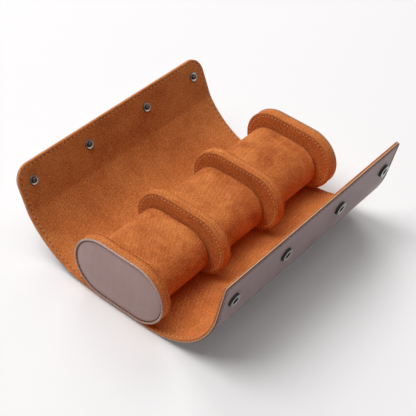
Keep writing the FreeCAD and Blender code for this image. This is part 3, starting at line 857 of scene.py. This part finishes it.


# %% [markdown]
# ## End caps
#
# An end cap is suede inside and mauve leather outside. The leather face is padded: it swells from
# a sewn channel, painted a darker brown as painted shade, and outside the channel stands a thin
# rim that catches the light, painted a paler mauve that is partly edge paint and partly a painted
# highlight.

# %% Build the end caps
CAP_INNER_X = 93.6 * MM
CAP_SUEDE = 1.5
CAP_LEATHER_START = 8.0
CAP_SEAM = SimpleNamespace(inset=1.95, pitch=3.3 * MM, share=0.62, half=THREAD_HALF, thread=dark_thread)
CAP_SEAT = 0.24
CAP_PROUD = 0.25
CAP_BAND_START = CAP_SUEDE + 0.1
CAP_BAND_END = CAP_LEATHER_START - 0.15
CAP_BAND_LINE = 2.75
SWELL_EDGE = 0.3
SWELL = 1.8
SWELL_INSET = 2.6
SWELL_RINGS = [MIDDLE, 22, 18, 14.5, 11.5, 9, 7, 5.2, 3.9, 3.1]
# The channel, the rim and the rear of the leather: (inset, height over the leather's start).
CAP_RIM = [
    (2.6, 0.28), (2.25, 0.12), (1.95, 0.08), (1.7, 0.16), (1.52, 0.5), (1.36, 0.9), (1.15, 1.12),
    (0.85, 1.18), (0.5, 1.1), (0.22, 0.9), (0.04, 0.6), (0.0, 0.4), (0.06, 0.2), (0.3, 0.02),
    (1.0, 0.0), (8, 0.0), (MIDDLE, 0.0),
]
# Channel painted darker brown between these insets, as painted shade; rim paler, partly a painted
# highlight.
CHANNEL_INSIDE = 2.7
CHANNEL_OUTSIDE = 1.4
CAP_PAINTS = [cap_leather, rim_paint_and_highlight, painted_channel_shade]


def swell_depth(inset):
    """How far the padded leather stands out: flat in the middle, falling to the channel."""
    share = (MIDDLE - inset) / (MIDDLE - SWELL_INSET)
    return CAP_LEATHER_START + SWELL_EDGE + SWELL * (1 - share**2.6)


def cap_paint(inset):
    """The place in CAP_PAINTS of the leather, of the rim (part painted highlight) or of the channel
    (painted shade).
    """
    if inset > CHANNEL_INSIDE:
        return 0
    return 1 if inset < CHANNEL_OUTSIDE else 2


cap_face = [(inset, swell_depth(inset)) for inset in SWELL_RINGS]
cap_face += [(inset, CAP_LEATHER_START + height) for inset, height in CAP_RIM]
cap_face_paints = [cap_paint(inset) for inset, depth in cap_face[:-1]]
cap_band = band_section(CAP_BAND_START, CAP_BAND_END, [CAP_BAND_LINE])
for cap, way in (("near_cap", -1), ("far_cap", 1)):
    x = way * CAP_INNER_X
    parts = {
        "leather": disc_part(f"{cap}_padded_face", x, way, cap_face, CAP_PAINTS, cap_face_paints),
        "band": disc_part(f"{cap}_suede_band", x, way, cap_band, [disc_suede], closed=True),
        "suede": suede_face(f"{cap}_inner_face", x, way, CAP_SUEDE, CAP_PROUD),
    }
    for node, piece in parts.items():
        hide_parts(f"{cap}_{node}")
        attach(piece, "base")
    outer_x = x + way * (CAP_LEATHER_START + CAP_SEAT) * MM
    seam_round(f"{cap}_outer_stitches", outer_x, way, CAP_SEAM)
    sew_face(f"{cap}_inner_stitches", x, -way)
    print(cap, "reaches x =", round((x + way * swell_depth(MIDDLE) * MM) / MM, 1))

# %% [markdown]
# ## Dividers
#
# A divider is the same sandwich with suede on both faces. The near edge of its band shows two
# fine lines close together and the far edge one.

# %% Build the dividers
DIVIDER = 8.5
DIVIDER_SUEDE = 1.4
BAND_START = DIVIDER_SUEDE + 0.12
BAND_END = DIVIDER - BAND_START
BAND_LINE_DEPTH = 2.5
divider_band = band_section(BAND_START, BAND_END, [BAND_LINE_DEPTH])
divider_near_x = {"divider_1": -37.4 * MM, "divider_2": 26.5 * MM}
for divider, x in divider_near_x.items():
    far_x = x + DIVIDER * MM
    parts = {
        "near_suede": suede_face(f"{divider}_near_face", x, 1, DIVIDER_SUEDE),
        "band": disc_part(f"{divider}_suede_band", x, 1, divider_band, [disc_suede], closed=True),
        "far_suede": suede_face(f"{divider}_far_face", far_x, -1, DIVIDER_SUEDE),
    }
    for node, piece in parts.items():
        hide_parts(f"{divider}_{node}")
        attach(piece, "base")
    sew_face(f"{divider}_near_stitches", x, -1)
    sew_face(f"{divider}_far_stitches", far_x, 1)
    print(divider, "from", round(x / MM, 1), "to", round(far_x / MM, 1))

# %% [markdown]
# ## Cushions
#
# A cushion is foam in a suede sleeve. Its ends are sewn in, so the sleeve is held along two seams
# and swells between them. That swelling is what a cloth simulation is good at: the sleeve starts
# a little small, the seams are pinned, pressure blows it out, and the result is applied. The move
# is scaled so that the fullest point gains just under a millimetre, and the bottom stays flat
# where it rests on the base.

# %% Cushion sizes
CUSHION_GAP = 0.5 * MM
CUSHION_Y = 2.8 * MM
CUSHION_Z = 22.8 * MM
CUSHION_HALF_WIDTH = 31.2 * MM
CUSHION_HALF_HEIGHT = 18.75 * MM
CUSHION_REST = WALL + 0.3 * MM
CUSHION_CORNER = 2.6 * MM
CUSHION_STEPS = (9, 22)
END_SET_BACK = 0.25 * MM
END_INSET = 3 * MM
END_INSETS = (18.75, 14, 10, 6.6, 4.2)
CORNER_TURNS = 5
SEAM_FROM_END = 4.0 * MM
HELD_PAST_SEAM = 0.8 * MM
GROOVE = [(0.7, 0.01), (0.3, 0.04), (0, 0.06), (-0.3, 0.04), (-0.7, 0.01)]
BODY_FROM_SEAM = 2.2 * MM
BODY_STEPS = 18
SWELL_LIMIT = 0.85 * MM
bays = [
    (-CAP_INNER_X, divider_near_x["divider_1"]),
    (divider_near_x["divider_1"] + DIVIDER * MM, divider_near_x["divider_2"]),
    (divider_near_x["divider_2"] + DIVIDER * MM, CAP_INNER_X),
]


def cushion_line(half_length):
    """The sleeve's section from the middle of one end to the other: (along, inset) points."""
    end = [(half_length - END_SET_BACK, inset * MM) for inset in END_INSETS]
    for turn in np.linspace(0, math.pi / 2, CORNER_TURNS):
        along = half_length - CUSHION_CORNER * (1 - math.cos(turn))
        end.append((along, CUSHION_CORNER * (1 - math.sin(turn))))
    seam_at = half_length - SEAM_FROM_END
    end += [(seam_at + along * MM, depth * MM) for along, depth in GROOVE]
    reach = seam_at - BODY_FROM_SEAM
    body = [(reach * (1 - 2 * i / BODY_STEPS), 0.0) for i in range(BODY_STEPS + 1)]
    return end + body + [(-along, inset) for along, inset in reversed(end)]


def new_cushion(name, low, high):
    """A sleeve that is closed at both ends, and how firmly each of its points is held."""
    half_length = (high - low) / 2 - CUSHION_GAP
    middle = (low + high) / 2
    middles, outs = stadium(CUSHION_HALF_WIDTH - CUSHION_HALF_HEIGHT, *CUSHION_STEPS)
    line = cushion_line(half_length)
    points, places = [], []
    for along, inset in line:
        run = 0.0
        ring = middles + outs * (CUSHION_HALF_HEIGHT - inset)
        for i, (y, z) in enumerate(ring):
            points.append((middle + along, CUSHION_Y + y, CUSHION_Z + z))
            places.append((y, z, inset) if inset > END_INSET else (middle + along, run, inset))
            run += float(np.linalg.norm(ring[(i + 1) % len(ring)] - ring[i]))
    piece = new_piece(name, points, join_rings(len(line), len(middles)), [cushion_suede], places)
    held = piece.vertex_groups.new(name="held")
    for vertex in piece.data.vertices:
        from_end = half_length - abs(vertex.co.x - middle)
        firm = 1.0 if from_end < SEAM_FROM_END + HELD_PAST_SEAM else 0.0
        held.add([vertex.index], firm, "REPLACE")
    return piece


cushions = [new_cushion(f"cushion_{i}_cover", low, high) for i, (low, high) in enumerate(bays, start=1)]
print([len(piece.data.vertices) for piece in cushions], "points in the cushions")

# %% Blow the sleeves up
SWELL_FRAMES = 20
SWELL_PRESSURE = 4.0


def blow_up(pieces):
    """Runs the cloth on all the pieces at once, and keeps the scaled result in their meshes."""
    scene = bpy.context.scene
    for piece in pieces:
        cloth = piece.modifiers.new("cloth", "CLOTH")
        cloth.settings.quality = 6
        cloth.settings.mass = 0.3
        cloth.settings.use_pressure = True
        cloth.settings.uniform_pressure_force = SWELL_PRESSURE
        cloth.settings.vertex_group_mass = "held"
        cloth.settings.effector_weights.gravity = 0
    for number in range(1, SWELL_FRAMES + 1):
        scene.frame_set(number)
    graph = bpy.context.evaluated_depsgraph_get()
    for piece in pieces:
        start = np.array([v.co for v in piece.data.vertices])
        blown = np.array([v.co for v in piece.evaluated_get(graph).data.vertices])
        move = blown - start
        longest = float(np.linalg.norm(move, axis=1).max())
        move *= min(1, SWELL_LIMIT / max(longest, SWELL_LIMIT / 10))
        piece.modifiers.clear()
        piece.data.vertices.foreach_set("co", (start + move).ravel())
        print(piece.name, "swelled by", round(longest / MM, 2), "mm before scaling")
    scene.frame_set(1)


blow_up(cushions)


# %% Finish the cushions
def smooth_cushion(piece):
    """One subdivision, then the bottom is pressed flat where it rests."""
    piece.modifiers.new("subdivision", "SUBSURF").levels = 1
    graph = bpy.context.evaluated_depsgraph_get()
    finer = bpy.data.meshes.new_from_object(piece.evaluated_get(graph))
    piece.modifiers.clear()
    piece.data = finer
    for vertex in piece.data.vertices:
        vertex.co.z = max(vertex.co.z, CUSHION_REST)
    piece.data.polygons.foreach_set("use_smooth", [True] * len(piece.data.polygons))


for i, piece in enumerate(cushions, start=1):
    smooth_cushion(piece)
    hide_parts(f"cushion_{i}_sleeve", f"cushion_{i}_core")
    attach(piece, f"cushion_{i}")

# %% [markdown]
# ## Snaps
#
# Four sockets sit on the outside of the front flap and four studs on the inside of the back flap.
# All of them are turned parts, so a list of radii and heights is enough. The socket is a dark drum
# with a bright face and a black hole; the stud is a rimmed disc with a bright ring round its
# head. Behind each stud, outside, sits a smooth domed cap.

# %% Turned parts
TURN_STEPS = 40
SNAP_X = [-88 * MM, -31.8 * MM, 31.8 * MM, 88 * MM]
SOCKET_RUN = FRONT_END + 20.2 * MM
STUD_RUN = BACK_END - 13.8 * MM


def turned(name, foot, up, section, paints, paint_of_ring=()):
    """A round part that stands on foot and points up. The section gives (radius, height) in mm."""
    across = Vector((1, 0, 0))
    side = up.cross(across)
    points = []
    for radius, height in section:
        for turn in np.linspace(0, 2 * math.pi, TURN_STEPS, endpoint=False):
            out = across * math.cos(turn) + side * math.sin(turn)
            points.append(foot + out * radius * MM + up * height * MM)
    faces = join_rings(len(section), TURN_STEPS)
    return new_piece(name, points, faces, paints, paint_of_face=paint_rings(paint_of_ring, TURN_STEPS))


SOCKET = [
    (0, -0.1), (5.3, -0.1), (5.35, 0.25), (5.22, 0.42), (5.1, 0.55), (5.12, 1.6), (5.0, 1.92), (4.72, 2.1),
    (4.3, 2.12), (3.1, 2.04), (2.75, 1.98), (2.55, 1.82), (2.48, 1.5), (2.48, 0.4), (0, 0.4),
]
SOCKET_PAINTS = [0, 0, 0, 0, 0, 0, 1, 1, 1, 1, 1, 0, 0, 0]
STUD = [
    (0, -0.1), (3.85, -0.1), (3.9, 0.3), (3.78, 0.58), (3.5, 0.72), (3.2, 0.66), (2.9, 0.42),
    (2.3, 0.34), (1.8, 0.4), (1.62, 0.7), (1.64, 1.1), (1.84, 1.3), (1.95, 1.55), (1.86, 1.85),
    (1.55, 2.08), (1.1, 2.18), (0.8, 2.16), (0.5, 2.06), (0, 2.02),
]
STUD_RING = (4, 5, 6)
STUD_PAINTS = [1 if pair in STUD_RING else 0 for pair in range(len(STUD) - 1)]
SNAP_CAP = [(0, 0), (5.4, 0), (5.6, 0.12), (5.58, 0.3), (5.3, 0.52), (4.5, 0.72), (3.0, 0.88), (0, 0.94)]
out = -wrap_up(SOCKET_RUN)
up = wrap_up(STUD_RUN)
for i, x in enumerate(SNAP_X, start=1):
    foot = on_wrap(x, SOCKET_RUN, 0)
    socket = turned(f"snap_socket_{i}", foot, out, SOCKET, [black_metal, nickel], SOCKET_PAINTS)
    foot = on_wrap(x, STUD_RUN, WALL)
    stud = turned(f"snap_stud_{i}", foot, up, STUD, [gunmetal, nickel], STUD_PAINTS)
    cap = turned(f"snap_cap_{i}", on_wrap(x, STUD_RUN, 0), -up, SNAP_CAP, [gunmetal])
    for piece, node, slot, body in (
        (socket, "front_socket", "snap_steel", "front_3"),
        (stud, "back_stud", "gunmetal", "snap_panel"),
        (cap, "back_snap_cap", "gunmetal", "snap_panel"),
    ):
        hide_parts(f"{node}_{i}")
        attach(piece, body)
print(3 * len(SNAP_X), "turned parts")

# %% [markdown]
# ## What stays from the CAD model
#
# The boards inside the discs and the washers under the suede are the right shape already. They
# only get their finishes.

# %% Finish the hidden parts
for name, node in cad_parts.items():
    finish = board if name.endswith("_core") and "cushion" not in name else None
    finish = steel if "washer" in name else finish
    if finish:
        for material_slot in node.material_slots:
            material_slot.material = finish.data

# %% [markdown]
# ## Table and light
#
# The photo is a bright studio shot: a white table, a main soft light above and behind on the left,
# a weaker one from behind on the right, and a faint one overhead that softens the shade. They hang
# a little over three metres away, so their light is even over the table, and together they bring a
# white table just about to white. The camera sees the world as plain white, and so do shiny
# surfaces, while diffuse surfaces get hardly any sky. For the camera only, a tenth of plain white
# is mixed into the table.

# %% Table
TABLE_HALF = 2.5
TABLE_GLOW = 0.1
table_mesh = bpy.data.meshes.new("table")
signs = ((-1, -1), (1, -1), (1, 1), (-1, 1))
corners = [(TABLE_HALF * right, TABLE_HALF * back, 0) for right, back in signs]
table_mesh.from_pydata(corners, [], [(0, 1, 2, 3)])
table = bpy.data.objects.new("table", table_mesh)
bpy.context.scene.collection.objects.link(table)
table_paint = Paint("table")
values = {"Base Color": solid(screen(254, 252, 252)), "Roughness": 0.9, "Specular IOR Level": 0.1}
matte = table_paint.add("ShaderNodeBsdfPrincipled", None, values)
glow = table_paint.add("ShaderNodeEmission", None, {"Color": solid((1, 1, 1)), "Strength": 1.0})
to_camera = table_paint.add("ShaderNodeLightPath", out="Is Camera Ray")
top = table_paint.add("ShaderNodeMixShader", None, {0: to_camera * TABLE_GLOW, 1: matte, 2: glow})
table_paint.add("ShaderNodeOutputMaterial", None, {"Surface": top})
table_mesh.materials.append(table_paint.data)
table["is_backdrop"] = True

# %% World
SKY = 0.02
world = Paint("studio", bpy.data.worlds)
seen, shiny = [world.add("ShaderNodeLightPath", out=f"Is {kind} Ray") for kind in ("Camera", "Glossy")]
sky_values = {"Color": solid(screen(250, 250, 255)), "Strength": SKY}
sky = world.add("ShaderNodeBackground", None, sky_values)
white = world.add("ShaderNodeBackground", None, {"Color": solid((1, 1, 1)), "Strength": 1.0})
dome = world.add("ShaderNodeMixShader", None, {0: seen.math("MAXIMUM", seen, shiny), 1: sky, 2: white})
world.add("ShaderNodeOutputWorld", None, {"Surface": dome})
bpy.context.scene.world = world.data

# %% Lamps
LOOK_AT = Vector((0, 0, 0.03))


def soft_light(name, place, size, share):
    """A square soft box that gives a white surface facing it that share of full white."""
    lamp = bpy.data.lights.new(name, "AREA")
    lamp.size = size
    away = (Vector(place) - LOOK_AT).length
    lamp.energy = share * math.pi**2 * away**2
    box = bpy.data.objects.new(name, lamp)
    box.location = place
    box.rotation_euler = (Vector(place) - LOOK_AT).to_track_quat("Z", "Y").to_euler()
    bpy.context.scene.collection.objects.link(box)
    print(name, round(lamp.energy, 1), "W at", round(away, 2), "m")


soft_light("back", (-0.9, 1.1, 3.0), 2.1, 0.72)
soft_light("side", (1.8, 1.8, 1.95), 1.9, 0.33)
soft_light("overhead", (0.3, -0.1, 3.4), 2.4, 0.22)

# %% [markdown]
# ## The end
#
# The dressed case has to stay the size of the CAD model.

# %% Compare sizes and finish
seen_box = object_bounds()
for one, two in zip(cad_box, seen_box):
    print("CAD and visual corner in mm", [(round(a / MM, 1), round(b / MM, 1)) for a, b in zip(one, two)])
